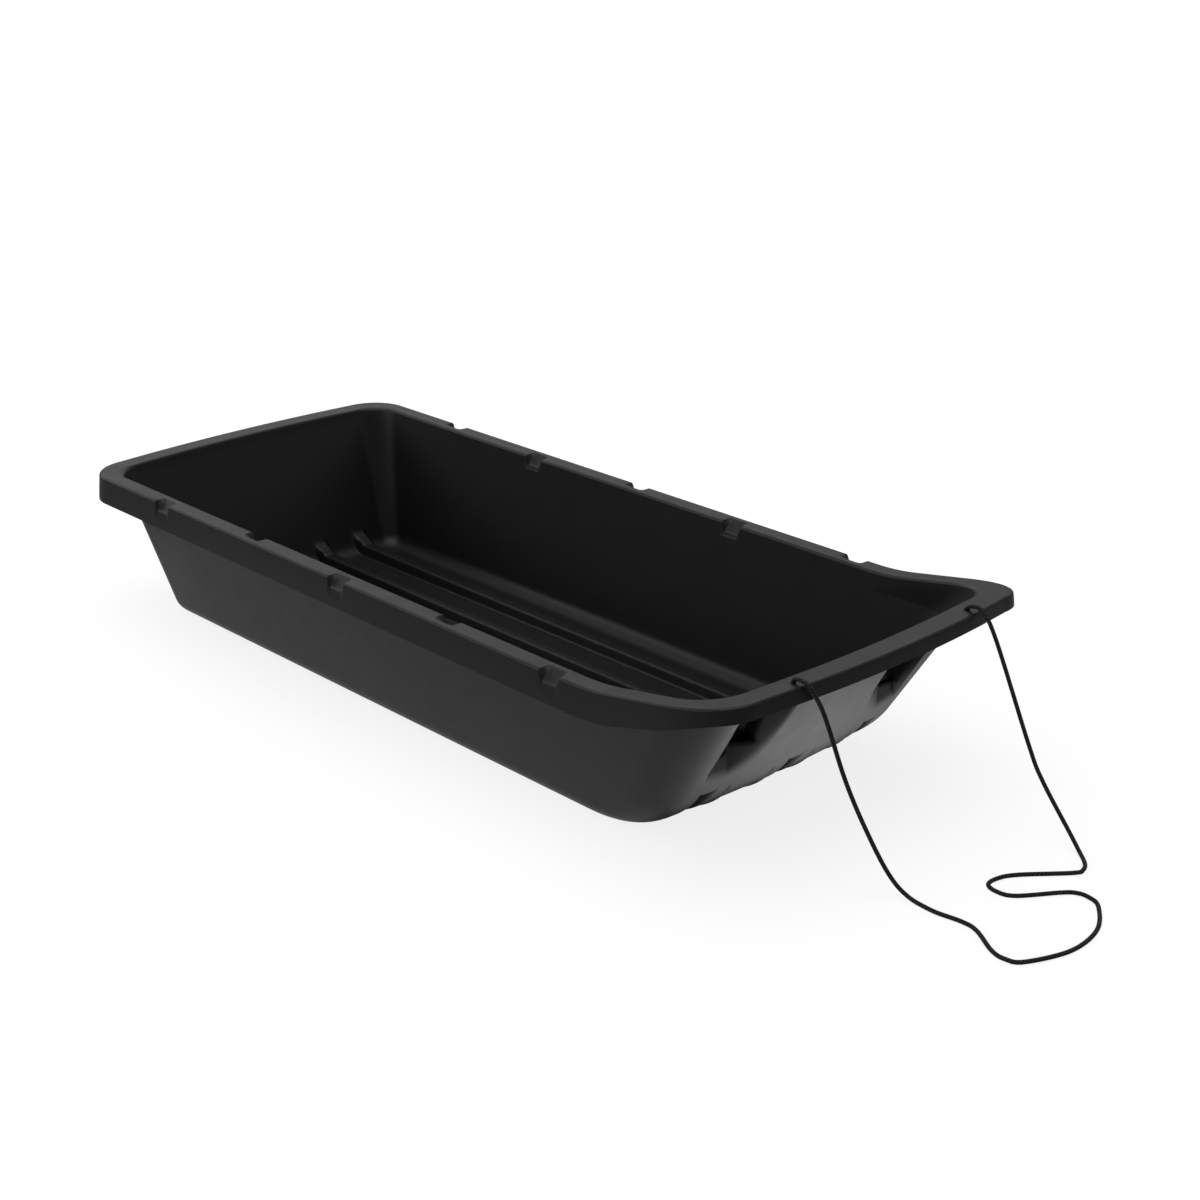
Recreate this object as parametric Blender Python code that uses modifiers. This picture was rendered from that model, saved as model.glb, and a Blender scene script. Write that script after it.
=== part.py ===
# Utility sled: one moulded plastic tub with a flanged, notched rim, and a tow rope knotted under the bow rim.
# Metres, +Z up, +X toward the bow. The origin lies on the ground under the middle of the sled.
import math

import bmesh
import bpy
from mathutils import Vector

# Driving sizes of the moulding
SHEET = 0.0036
HALF_LENGTH = 0.765
HALF_WIDTH = 0.3175
DEPTH = 0.2413
SIDE_RIM = 0.0316
BOW_RIM = 0.050
STERN_RIM = 0.0384
SKIRT = 0.044
BOW_SKIRT = 0.0225
SKIRT_EASE_START = 0.562
SKIRT_EASE_LENGTH = 0.171
SKIRT_FLARE = 0.0027
EDGE_WIDTH = 0.0025
EDGE_DROP = 0.0035

# The rim is level, then an arc lifts it into a straight rise toward the bow
SHEER_START = 0.467
SHEER_RADIUS = 0.413
SHEER_SLOPE = math.radians(10.5)
SHEER_STEP = 0.0251
SHEER_STEPS = 3

# The bow is one large arc from the floor into a straight face; sides and stern lean out from small fillets
BOW_START = 0.4626
BOW_RADIUS = 0.1501
BOW_ANGLE = math.radians(58.5)
SIDE_DRAFT = math.tan(math.radians(11.7))
STERN_DRAFT = math.tan(math.radians(22.3))
SIDE_FILLET = 0.0254
STERN_FILLET = 0.0318
BOW_RISE = 0.0381
WALL_LEVELS = (0.107, 0.113, 0.126, 0.145)
FLOOR_ANGLES = (58.5, 54.5, 48.0, 39.0, 30.0, 20.0, 10.5, 0.0)

# Plan curvature of the ends and the shape of the corners. A bow corner reaches back along the side by one
# length and in across the bow by another; each pair of rim values is for the outer and the inner edge.
BOW_RIM_PLAN = 1.65
BOW_FACE_PLAN = 1.98
STERN_PLAN = 2.54
CORNER_POWER = 2.4
CORNER_STEPS = 6
RIM_REACH = (0.114, 0.071)
RIM_TURN = (0.070, 0.068)
RIM_STERN_TURN = (0.070, 0.035)
WALL_REACH = 0.080
BOW_FLAT = 0.2085
BOW_FLAT_TAPER = 0.0738
WALL_STERN_TURN = 0.056
WALL_STERN_TAPER = 0.13
FLOOR_CORNER = 0.008
SIDE_FROM = -0.683
SIDE_TO = 0.632

# Five ribs stand up inside and are runner grooves underneath
RIB_PITCH = 0.0845
RIB_TOP = 0.0105
RIB_FOOT = 0.0155
RIB_HEIGHT = 0.0175
RIB_STERN_TOP = -0.575
RIB_STERN_FOOT = -0.588
KEEL_DROP = 0.0015
KEEL_FROM = 0.1
KEEL_TO = 0.99
LONG_RIB_END = math.radians(56.0)
SHORT_RIB_END = math.radians(25.0)

# Grip notches, five a side, cut in turn into the outer and the inner edge of the rim
NOTCH_MIDDLE = -0.0408
NOTCH_PITCH = 0.2346
NOTCH_MOUTH = 0.0203
NOTCH_BACK = 0.0135
NOTCH_DEPTH = 0.0185
NOTCH_REACH = 0.0196
NOTCH_EASE = 0.003
BELOW_NOTCH = 0.001

# An upright recess cut into the sloping bow at each corner, with a square pocket in it and a shallow ledge beside
RECESS_TOP = 0.029
RECESS_X = 0.601
RECESS_TURN_Y = 0.138
RECESS_INNER_SLOPE = 1.9
RECESS_STEP = 0.005
RECESS_EASE = 0.003
POCKET_LOW = 0.0950
POCKET_DEPTH = 0.022
POCKET_SIDE_Y = 0.119
POCKET_END_Y = 0.141
LEDGE_LOW = 0.110
LEDGE_DEPTH = 0.005

# Tow rope
ROPE_DIAMETER = 0.006
ROPE_HOLE = 0.0045
CUTTER_DEPTH = 0.03
HOLE_X = 0.734
HOLE_Y = 0.178
KNOT_RADIUS = 0.0095
KNOT_LENGTH = 0.017
UNDER_RIM = 0.001
ROPE_LEAD = 0.0075
GAP = 0.0003
ROPE_STEP = 0.0193
TIGHT_STEP = 0.012
TIGHT_HEIGHT = 0.25
CURVE_STEPS = 24
HOLE_SIDES = 20
KNOT_SIDES = 16
KNOT_RINGS = 10

# Where flat neighbours merge, where an edge stays sharp and how near two points count as one
FLAT_ANGLE = math.radians(0.35)
SHARP_ANGLE = math.radians(35)
MIRROR_MERGE = 0.0001
NEAR = 1e-5


def sheer(x):
    """Height of the rim top above its level part."""
    arc_end = SHEER_START + SHEER_RADIUS * math.sin(SHEER_SLOPE)
    if x < SHEER_START:
        return 0.0
    if x < arc_end:
        return SHEER_RADIUS - math.sqrt(SHEER_RADIUS ** 2 - (x - SHEER_START) ** 2)
    return SHEER_RADIUS * (1 - math.cos(SHEER_SLOPE)) + math.tan(SHEER_SLOPE) * (x - arc_end)


def skirt_height(x):
    t = min(max((x - SKIRT_EASE_START) / SKIRT_EASE_LENGTH, 0.0), 1.0)
    return SKIRT + (BOW_SKIRT - SKIRT) * t * t * (3 - 2 * t)


def leaning_wall(height, draft, fillet, foot):
    """Reach of a leaning wall above a floor fillet, at a height over the floor."""
    angle = math.atan(draft)
    if height >= fillet * (1 - math.sin(angle)):
        return foot + height * draft
    centre = foot + fillet * draft - fillet / math.cos(angle)
    return centre + math.sqrt(fillet ** 2 - (fillet - height) ** 2)


class Ring:
    """One closed level line of the sheet's upper side; only the port half is drawn."""

    def __init__(self, half, bow, stern, reach, turn, stern_turn, drop, follows_rim=True,
                 bow_plan=BOW_FACE_PLAN, slope=BOW_ANGLE, name=""):
        self.half = half
        self.bow = bow
        self.stern = stern
        self.reach = reach
        self.turn = turn
        self.stern_turn = stern_turn
        self.drop = drop
        self.follows_rim = follows_rim
        self.bow_plan = bow_plan
        self.slope = slope
        self.name = name

    def height(self, x):
        drop = skirt_height(x) if self.name == "skirt" else self.drop
        return DEPTH - drop + (sheer(x) if self.follows_rim else 0.0)

    def bow_x(self, y):
        return self.bow - y * y / (2 * self.bow_plan)

    def stern_x(self, y):
        return self.stern + y * y / (2 * STERN_PLAN)

    def front_edge(self):
        return self.half - self.turn

    def rear_edge(self):
        return self.half - self.stern_turn


def between(pair, share):
    return pair[0] + (pair[1] - pair[0]) * share


def rim_ring(inset, drop, flare=0.0, name=""):
    """A line on the rim or skirt, inset as a share of the rim's width from its outer edge."""
    share = inset / SIDE_RIM
    return Ring(HALF_WIDTH - inset + flare,
                HALF_LENGTH - BOW_RIM * share + flare / 2,
                -HALF_LENGTH + STERN_RIM * share - flare,
                between(RIM_REACH, share), between(RIM_TURN, share), between(RIM_STERN_TURN, share),
                drop, bow_plan=BOW_RIM_PLAN, name=name)


def bow_turn(half, drop):
    """How far in from the side a wall's bow corner begins."""
    return half - (BOW_FLAT - BOW_FLAT_TAPER * drop)


def wall_stern_turn(drop):
    return max(FLOOR_CORNER, WALL_STERN_TURN - WALL_STERN_TAPER * drop)


def wall_ring(drop, follows_rim=False, name=""):
    """A line on the tub's straight walls, at a depth below the rim plane."""
    rise = BOW_RISE if follows_rim else 0.0
    tangent_x = BOW_START + BOW_RADIUS * math.sin(BOW_ANGLE)
    tangent_z = SHEET + BOW_RADIUS * (1 - math.cos(BOW_ANGLE))
    half = HALF_WIDTH - SIDE_RIM - drop * SIDE_DRAFT
    return Ring(half,
                tangent_x + (DEPTH - drop + rise - tangent_z) / math.tan(BOW_ANGLE),
                -HALF_LENGTH + STERN_RIM + drop * STERN_DRAFT,
                WALL_REACH, bow_turn(half, drop), wall_stern_turn(drop), drop, follows_rim, name=name)


def floor_ring(angle):
    """A line through the bow arc at an angle, and through the side and stern fillets at the same height."""
    height = BOW_RADIUS * (1 - math.cos(angle))
    drop = DEPTH - SHEET - height
    full = DEPTH - SHEET
    half = leaning_wall(height, SIDE_DRAFT, SIDE_FILLET, HALF_WIDTH - SIDE_RIM - full * SIDE_DRAFT)
    stern = leaning_wall(height, STERN_DRAFT, STERN_FILLET, HALF_LENGTH - STERN_RIM - full * STERN_DRAFT)
    return Ring(half, BOW_START + BOW_RADIUS * math.sin(angle), -stern,
                WALL_REACH, bow_turn(half, drop), wall_stern_turn(drop), drop, False, slope=angle)


def rings():
    """The sheet's level lines, from the skirt's lower edge over the rim and down to the floor."""
    notch_low = NOTCH_DEPTH + BELOW_NOTCH
    lines = [
        rim_ring(0, 0, SKIRT_FLARE, "skirt"),
        rim_ring(0, notch_low, SKIRT_FLARE * notch_low / SKIRT),
        rim_ring(0, EDGE_DROP, 0, "outer side"),
        rim_ring(EDGE_WIDTH, 0, 0, "outer edge"),
        rim_ring(NOTCH_REACH, 0, 0, "notch back"),
        rim_ring(SIDE_RIM - EDGE_WIDTH, 0, 0, "inner edge"),
        wall_ring(EDGE_DROP, True, "inner side"),
        wall_ring(notch_low, True),
        wall_ring(RECESS_TOP - RECESS_EASE),
        wall_ring(RECESS_TOP + RECESS_EASE),
        wall_ring(POCKET_LOW - RECESS_EASE),
        wall_ring(POCKET_LOW + RECESS_EASE),
    ]
    lines += [wall_ring(level) for level in WALL_LEVELS]
    lines += [floor_ring(math.radians(angle)) for angle in FLOOR_ANGLES]
    return lines


def rib_lines():
    """Distances from the middle at which lengthwise lines run, out to the last rib's foot."""
    lines = [0.0, RIB_TOP, RIB_FOOT]
    for i in (1, 2):
        middle = i * RIB_PITCH
        lines += [middle - RIB_PITCH / 2]
        lines += [middle - RIB_FOOT, middle - RIB_TOP, middle + RIB_TOP, middle + RIB_FOOT]
    lines += [POCKET_SIDE_Y, RECESS_TURN_Y, POCKET_END_Y]
    return sorted(lines)


def side_lines():
    """Places along the side, bow to stern: the sheer's arc, then each notch's four corners."""
    lines = [SHEER_START + SHEER_STEP * i for i in range(SHEER_STEPS, -1, -1)]
    for k in (2, 1, 0, -1, -2):
        middle = NOTCH_MIDDLE + k * NOTCH_PITCH
        lines += [middle + NOTCH_MOUTH, middle + NOTCH_BACK, middle - NOTCH_BACK, middle - NOTCH_MOUTH]
    return lines


def rib_share(y, angle):
    """How far a rib stands up on the bow arc at a lengthwise line, from 0 to 1."""
    for i in (0, 1, 2):
        if abs(y - i * RIB_PITCH) < RIB_TOP + NEAR:
            end = SHORT_RIB_END if i == 1 else LONG_RIB_END
            return 1.0 if angle < end else 0.0
    return 0.0


def is_keel(y):
    return any(abs(y - (i + 0.5) * RIB_PITCH) < NEAR for i in (0, 1))


def bow_point(ring, y, edge_y):
    """A point of the bow, with its ribs, keel lines, corner recess and pocket."""
    x = ring.bow_x(y)
    z = ring.height(x)
    if ring.follows_rim:
        return Vector((x, y, z))
    lift = RIB_HEIGHT * rib_share(y, ring.slope)
    if is_keel(y) and KEEL_FROM < ring.slope < KEEL_TO:
        lift -= KEEL_DROP
    x -= lift * math.sin(ring.slope)
    z += lift * math.cos(ring.slope)
    if ring.drop > RECESS_TOP and y < edge_y - NEAR:
        back = RECESS_X + RECESS_INNER_SLOPE * max(0.0, RECESS_TURN_Y - y)
        if ring.drop < POCKET_LOW and POCKET_SIDE_Y + NEAR < y < POCKET_END_Y - NEAR:
            back -= POCKET_DEPTH
        if ring.drop < LEDGE_LOW and y > POCKET_END_Y - NEAR:
            back -= LEDGE_DEPTH
        x = min(x, back)
    return Vector((x, y, z))


def notch_point(ring, x, y):
    """A side point of a rim line, lowered where a grip notch is cut."""
    z = ring.height(x)
    for k in (-2, -1, 0, 1, 2):
        middle = NOTCH_MIDDLE + k * NOTCH_PITCH
        if abs(x - middle) < NOTCH_BACK + NEAR:
            cut = ("outer side", "outer edge") if k % 2 == 0 else ("inner side", "inner edge")
            if ring.name in cut:
                z = DEPTH - NOTCH_DEPTH + (0.0 if ring.name == cut[0] else NOTCH_EASE)
            if ring.name == "notch back" and k % 2:
                y = HALF_WIDTH - SIDE_RIM + NOTCH_REACH
    return Vector((x, y, z))


def half_ring(ring):
    """Points of one ring's port half, from the middle of the bow round to the middle of the stern."""
    points = []
    edge = ring.front_edge()
    for y in rib_lines() + [edge - RECESS_STEP, edge]:
        points.append(bow_point(ring, y, edge))
    power = 2 / CORNER_POWER
    start = ring.bow_x(edge) - ring.reach
    for i in range(1, CORNER_STEPS + 1):
        turn = math.pi / 2 * i / CORNER_STEPS
        x = start + ring.reach * max(math.cos(turn), 0.0) ** power
        y = edge + ring.turn * math.sin(turn) ** power
        points.append(Vector((x, y, ring.height(x))))
    rear = ring.rear_edge()
    stop = ring.stern_x(rear) + ring.stern_turn
    for place in side_lines():
        share = (place - SIDE_FROM) / (SIDE_TO - SIDE_FROM)
        x = place if ring.follows_rim else stop + share * (start - stop)
        points.append(notch_point(ring, x, ring.half))
    for i in range(CORNER_STEPS):
        turn = math.pi / 2 * (1 - i / CORNER_STEPS)
        x = stop - ring.stern_turn * math.cos(turn)
        y = rear + ring.stern_turn * math.sin(turn)
        points.append(Vector((x, y, ring.height(x))))
    last = rib_lines()[-1]
    for y in [rear, (rear + last) / 2] + rib_lines()[::-1]:
        x = ring.stern_x(y)
        points.append(Vector((x, y, ring.height(x))))
    return points


def sheet_half():
    """The port half of the moulding's upper side as an open mesh."""
    mesh = bmesh.new()
    rows = [[mesh.verts.new(p) for p in half_ring(ring)] for ring in rings()]
    for upper, lower in zip(rows, rows[1:]):
        for i in range(len(upper) - 1):
            mesh.faces.new((upper[i], upper[i + 1], lower[i + 1], lower[i]))
    floor = rows[-1]
    lines = rib_lines() + [0.0, 0.0]
    count = len(lines)
    front = floor[:count]
    rear = floor[-count:][::-1]
    tops = []
    feet = []
    for i in range(count):
        y = rear[i].co.y
        rise = RIB_HEIGHT * rib_share(y, 0.0)
        tops.append(mesh.verts.new((RIB_STERN_TOP, y, SHEET + rise)))
        feet.append(mesh.verts.new((RIB_STERN_FOOT, y, SHEET)))
    for i in range(count - 1):
        mesh.faces.new((front[i], front[i + 1], tops[i + 1], tops[i]))
        mesh.faces.new((tops[i], tops[i + 1], feet[i + 1], feet[i]))
        mesh.faces.new((feet[i], feet[i + 1], rear[i + 1], rear[i]))
    mesh.faces.new(floor[count - 1:len(floor) - count + 1] + [feet[-1], tops[-1]])
    return mesh


def collection(name):
    group = bpy.data.collections.new(name)
    bpy.context.scene.collection.children.link(group)
    return group


def material(name, colour, roughness):
    made = bpy.data.materials.new(name)
    made.use_nodes = True
    shader = made.node_tree.nodes["Principled BSDF"]
    shader.inputs["Base Color"].default_value = colour
    shader.inputs["Roughness"].default_value = roughness
    shader.inputs["Metallic"].default_value = 0.0
    made.diffuse_color = colour
    return made


def add_object(name, data, group, surface=None):
    made = bpy.data.objects.new(name, data)
    group.objects.link(made)
    if surface:
        data.materials.append(surface)
    return made


def add_cutter(name, location, radius, depth, tilt, group):
    mesh = bmesh.new()
    bmesh.ops.create_cone(mesh, cap_ends=True, segments=HOLE_SIDES, radius1=radius, radius2=radius, depth=depth)
    data = bpy.data.meshes.new(name)
    mesh.to_mesh(data)
    mesh.free()
    made = add_object(name, data, group)
    made.location = location
    made.rotation_euler = (0.0, tilt, 0.0)
    made.hide_render = True
    made.display_type = "WIRE"
    return made


def build_hull(parts, cutters):
    mesh = sheet_half()
    bmesh.ops.recalc_face_normals(mesh, faces=mesh.faces)
    if sum(face.normal.z * face.calc_area() for face in mesh.faces) < 0:
        bmesh.ops.reverse_faces(mesh, faces=mesh.faces)
    bmesh.ops.dissolve_limit(mesh, angle_limit=FLAT_ANGLE, use_dissolve_boundaries=False,
                             verts=mesh.verts, edges=mesh.edges, delimit=set())
    data = bpy.data.meshes.new("sled_hull")
    mesh.to_mesh(data)
    mesh.free()
    data.shade_smooth()
    data.set_sharp_from_angle(angle=SHARP_ANGLE)
    hull = add_object("sled_hull", data, parts, material("black_moulded_plastic", (0.012, 0.012, 0.013, 1), 0.5))
    mirror = hull.modifiers.new("Port and starboard", "MIRROR")
    mirror.use_axis = (False, True, False)
    mirror.merge_threshold = MIRROR_MERGE
    solid = hull.modifiers.new("Sheet", "SOLIDIFY")
    solid.thickness = SHEET
    solid.offset = -1.0
    solid.use_even_offset = True
    solid.use_quality_normals = True
    for side, label in ((-1, "right"), (1, "left")):
        place = (HOLE_X, side * HOLE_Y, DEPTH + sheer(HOLE_X))
        cutter = add_cutter("rope_hole_" + label, place, ROPE_HOLE, CUTTER_DEPTH, -SHEER_SLOPE, cutters)
        cut = hull.modifiers.new("Rope hole " + label, "BOOLEAN")
        cut.operation = "DIFFERENCE"
        cut.solver = "EXACT"
        cut.object = cutter
    return hull


def rope_end():
    """Height at which the rope meets its knots, just under the rim."""
    return DEPTH + sheer(HOLE_X) - SHEET / math.cos(SHEER_SLOPE) - UNDER_RIM


def rope_route():
    """Hand-chosen points of the rope, from the right-hand knot over the rim, round the ground and back up."""
    under = rope_end()
    ground = ROPE_DIAMETER / 2
    return [
        (HOLE_X, -HOLE_Y, under), (HOLE_X, -HOLE_Y, under + ROPE_LEAD), (0.7375, -0.1785, 0.2905),
        (0.7485, -0.1800, 0.2930), (0.7590, -0.1803, 0.2905), (0.7648, -0.1755, 0.2805),
        (0.7700, -0.1559, 0.2412), (0.7945, -0.1400, 0.1560), (0.8210, -0.1260, 0.0900),
        (0.8500, -0.1120, 0.0330), (0.8760, -0.1020, 0.0060), (0.9200, -0.1035, ground),
        (0.9590, -0.0980, ground), (0.9850, -0.1020, ground), (1.0260, -0.1265, ground),
        (1.0490, -0.1310, ground), (1.0700, -0.1190, ground), (1.0940, -0.0560, ground),
        (1.0880, 0.0080, ground), (1.0560, 0.0590, ground), (1.0330, 0.0700, ground),
        (1.0160, 0.0670, ground), (1.0020, 0.0530, ground), (0.9670, 0.0040, ground),
        (0.9430, -0.0045, ground), (0.9250, 0.0030, ground), (0.9240, 0.0250, ground),
        (0.9370, 0.0520, ground), (0.9840, 0.1090, ground), (0.9880, 0.1250, ground),
        (0.9790, 0.1420, ground), (0.9550, 0.1620, 0.0060), (0.9320, 0.1700, 0.0230),
        (0.8810, 0.1740, 0.0790), (0.8540, 0.1760, 0.1210), (0.7860, 0.1801, 0.2515),
        (0.7620, 0.1785, 0.2875), (0.7470, 0.1745, 0.2935), (HOLE_X, HOLE_Y, under + ROPE_LEAD),
        (HOLE_X, HOLE_Y, under),
    ]


def smooth_route(route):
    """Points along a smooth curve through the route's points, closer together where it bends over the rim."""
    points = [Vector(p) for p in route]
    points = [2 * points[0] - points[1]] + points + [2 * points[-1] - points[-2]]
    fine = []
    for a, b, c, d in zip(points, points[1:], points[2:], points[3:]):
        for i in range(CURVE_STEPS):
            t = i / CURVE_STEPS
            p = 0.5 * (2 * b + (c - a) * t + (2 * a - 5 * b + 4 * c - d) * t ** 2
                       + (3 * b - a - 3 * c + d) * t ** 3)
            p.z = max(p.z, ROPE_DIAMETER / 2)
            fine.append(p)
    fine.append(points[-2])
    length = 0.0
    travelled = 0.0
    spaced = [fine[0]]
    for p, q in zip(fine, fine[1:]):
        piece = (q - p).length
        length += piece
        travelled += piece
        if travelled >= (TIGHT_STEP if q.z > TIGHT_HEIGHT else ROPE_STEP):
            spaced.append(q)
            travelled = 0.0
    if (fine[-1] - spaced[-1]).length < TIGHT_STEP / 2:
        spaced.pop()
    spaced.append(fine[-1])
    return spaced, length


def build_rope(parts, surface):
    route = rope_route()
    points, length = smooth_route(route[1:-1])
    points = [Vector(route[0])] + points + [Vector(route[-1])]
    length += 2 * ROPE_LEAD
    curve = bpy.data.curves.new("tow_rope", "CURVE")
    curve.dimensions = "3D"
    curve.bevel_depth = ROPE_DIAMETER / 2
    curve.bevel_resolution = 2
    curve.use_fill_caps = True
    spline = curve.splines.new("POLY")
    spline.points.add(len(points) - 1)
    for point, place in zip(spline.points, points):
        point.co = (*place, 1.0)
    add_object("tow_rope", curve, parts, surface)
    print("rope length", round(length, 4), "points", len(points))


def build_knot(name, side, parts, surface):
    """The stopper knot under the rim, as one rounded lump."""
    top = rope_end() - GAP
    mesh = bmesh.new()
    bmesh.ops.create_uvsphere(mesh, u_segments=KNOT_SIDES, v_segments=KNOT_RINGS, radius=1.0)
    for vert in mesh.verts:
        vert.co = Vector((vert.co.x * KNOT_RADIUS, vert.co.y * KNOT_RADIUS, vert.co.z * KNOT_LENGTH / 2))
    data = bpy.data.meshes.new(name)
    mesh.to_mesh(data)
    mesh.free()
    data.shade_smooth()
    knot = add_object(name, data, parts, surface)
    knot.location = (HOLE_X, side * HOLE_Y, top - KNOT_LENGTH / 2)


def main():
    for thing in list(bpy.data.objects):
        bpy.data.objects.remove(thing, do_unlink=True)
    parts = collection("utility_sled")
    cutters = collection("cutters")
    build_hull(parts, cutters)
    rope = material("braided_rope", (0.02, 0.02, 0.022, 1), 0.8)
    build_rope(parts, rope)
    build_knot("rope_knot_right", -1, parts, rope)
    build_knot("rope_knot_left", 1, parts, rope)


main()
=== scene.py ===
import bpy, bmesh, math
from mathutils import Vector, Matrix


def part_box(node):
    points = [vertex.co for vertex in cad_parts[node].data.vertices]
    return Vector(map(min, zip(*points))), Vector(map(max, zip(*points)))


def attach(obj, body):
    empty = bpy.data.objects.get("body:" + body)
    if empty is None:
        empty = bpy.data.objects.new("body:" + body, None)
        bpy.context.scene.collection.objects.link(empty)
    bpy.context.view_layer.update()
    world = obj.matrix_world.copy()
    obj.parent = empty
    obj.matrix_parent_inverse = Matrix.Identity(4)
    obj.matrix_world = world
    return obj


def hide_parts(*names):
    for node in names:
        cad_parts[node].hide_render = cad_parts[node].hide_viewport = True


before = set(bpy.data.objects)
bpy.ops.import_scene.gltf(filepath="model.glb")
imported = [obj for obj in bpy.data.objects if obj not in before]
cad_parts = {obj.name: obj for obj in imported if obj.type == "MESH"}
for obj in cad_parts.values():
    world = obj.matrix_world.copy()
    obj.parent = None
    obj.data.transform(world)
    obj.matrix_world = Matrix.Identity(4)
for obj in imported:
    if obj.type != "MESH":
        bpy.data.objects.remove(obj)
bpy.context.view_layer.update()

print("sled frame loaded", sorted(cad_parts))

# the camera, as it stood for the photograph
cameraSet = {
    "place": (2.2909, -1.9913, 1.3504),     # metres, in the sled's own frame
    "right": (0.688374, 0.725355, 0.000375),
    "up": (-0.270384, 0.256119, 0.928060),
    "back": (0.673077, -0.638954, 0.372430),
    "lens": 62.07, "sensor": 36.0,          # millimetres
    "farthest": 200.0,
}


def makeCamera(s):
    data = bpy.data.cameras.new("photoCamera")
    data.lens = s["lens"]
    data.sensor_width = s["sensor"]
    data.clip_end = s["farthest"]
    cam = bpy.data.objects.new("photoCamera", data)
    bpy.context.scene.collection.objects.link(cam)
    turn = Matrix((s["right"], s["up"], s["back"])).transposed().to_4x4()
    turn.translation = Vector(s["place"])
    cam.matrix_world = turn
    bpy.context.scene.camera = cam


makeCamera(cameraSet)
print("camera set")

# the tow rope and its two stopper knots
ropeSet = {
    "diameter": 0.006,
    "holeX": 0.734, "holeY": 0.178,         # the two holes in the bow rim
    "underRim": 0.27794,                    # where the rope meets its knots, just under the rim
    "holeRise": 0.0075,                     # how far it runs straight up through the rim
    "ground": 0.003,                        # height of its middle where it lies
    "ringStep": 0.0022, "sides": 14,
    "knotStep": 0.0012, "knotSides": 12,
    "knotLobe": 0.0021, "knotWave": 0.0027, # size of a knot's lobes, and how far they rise and dip
    "knotHalf": 0.0078, "knotLean": 0.001,  # half its height, and how far its tail leans out
    "knotEnter": (0.75, 0.2), "knotLeave": (0.8, 0.2),
    "knotTight": 0.94, "knotTaper": 0.25,   # the rope is pulled thinner there, and most at its end
    "braidPitch": 0.011,                    # length of one full turn of a strand
    "strands": 8.0,                         # in each of the braid's two directions
    "braidBump": 0.7, "braidDepth": 0.0006,
    "fleckEvery": 4.0,                      # one strand in four of one direction is lighter yarn
    "fuzzSize": 900.0, "fuzzRange": (0.8, 0.1),
    "dark": (0.013, 0.013, 0.014, 1), "fleck": (0.16, 0.16, 0.165, 1),
    "roughness": 0.62, "shine": 0.35,
}


def ropeRoute(s):
    hx, hy, top, g = s["holeX"], s["holeY"], s["underRim"], s["ground"]
    return [
        (hx, -hy, top), (hx, -hy, top + s["holeRise"]), (0.7375, -0.1785, 0.2905),
        (0.7485, -0.1800, 0.2930), (0.7590, -0.1803, 0.2905), (0.7648, -0.1755, 0.2805),
        (0.7700, -0.1559, 0.2412), (0.7945, -0.1400, 0.1560), (0.8210, -0.1260, 0.0900),
        (0.8500, -0.1120, 0.0330), (0.8760, -0.1020, 0.0060), (0.9200, -0.1035, g),
        (0.9590, -0.0980, g), (0.9850, -0.1020, g), (1.0260, -0.1265, g),
        (1.0490, -0.1310, g), (1.0700, -0.1190, g), (1.0940, -0.0560, g),
        (1.0880, 0.0080, g), (1.0560, 0.0590, g), (1.0330, 0.0700, g),
        (1.0160, 0.0670, g), (1.0020, 0.0530, g), (0.9670, 0.0040, g),
        (0.9430, -0.0045, g), (0.9250, 0.0030, g), (0.9240, 0.0250, g),
        (0.9370, 0.0520, g), (0.9840, 0.1090, g), (0.9880, 0.1250, g),
        (0.9790, 0.1420, g), (0.9550, 0.1620, 0.0060), (0.9320, 0.1700, 0.0230),
        (0.8810, 0.1740, 0.0790), (0.8540, 0.1760, 0.1210), (0.7860, 0.1801, 0.2515),
        (0.7620, 0.1785, 0.2875), (0.7470, 0.1745, 0.2935), (hx, hy, top + s["holeRise"]),
        (hx, hy, top),
    ]


def smoothLine(route, step, floor=None):
    # a curve through the route's points, cut into even steps
    pts = [Vector(p) for p in route]
    pts = [2 * pts[0] - pts[1]] + pts + [2 * pts[-1] - pts[-2]]
    fine, fineParts = [], 30
    for a, b, c, d in zip(pts, pts[1:], pts[2:], pts[3:]):
        for i in range(fineParts):
            t = i / fineParts
            fine.append(0.5 * (2 * b + (c - a) * t + (2 * a - 5 * b + 4 * c - d) * t ** 2
                               + (3 * b - a - 3 * c + d) * t ** 3))
            if floor is not None:
                fine[-1].z = max(fine[-1].z, floor)
    fine.append(pts[-2])
    total = sum((q - p).length for p, q in zip(fine, fine[1:]))
    count = max(2, round(total / step))
    even, gone = [fine[0]], 0.0
    for p, q in zip(fine, fine[1:]):
        bit = (q - p).length
        while len(even) < count and gone + bit >= total * len(even) / count:
            even.append(p.lerp(q, (total * len(even) / count - gone) / bit))
        gone += bit
    even.append(fine[-1])
    return even


def newPiece(name, mesh, material, smooth=True):
    data = bpy.data.meshes.new(name)
    mesh.to_mesh(data)
    mesh.free()
    if smooth:
        data.shade_smooth()
    data.materials.append(material)
    obj = bpy.data.objects.new(name, data)
    bpy.context.scene.collection.objects.link(obj)
    return obj


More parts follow.
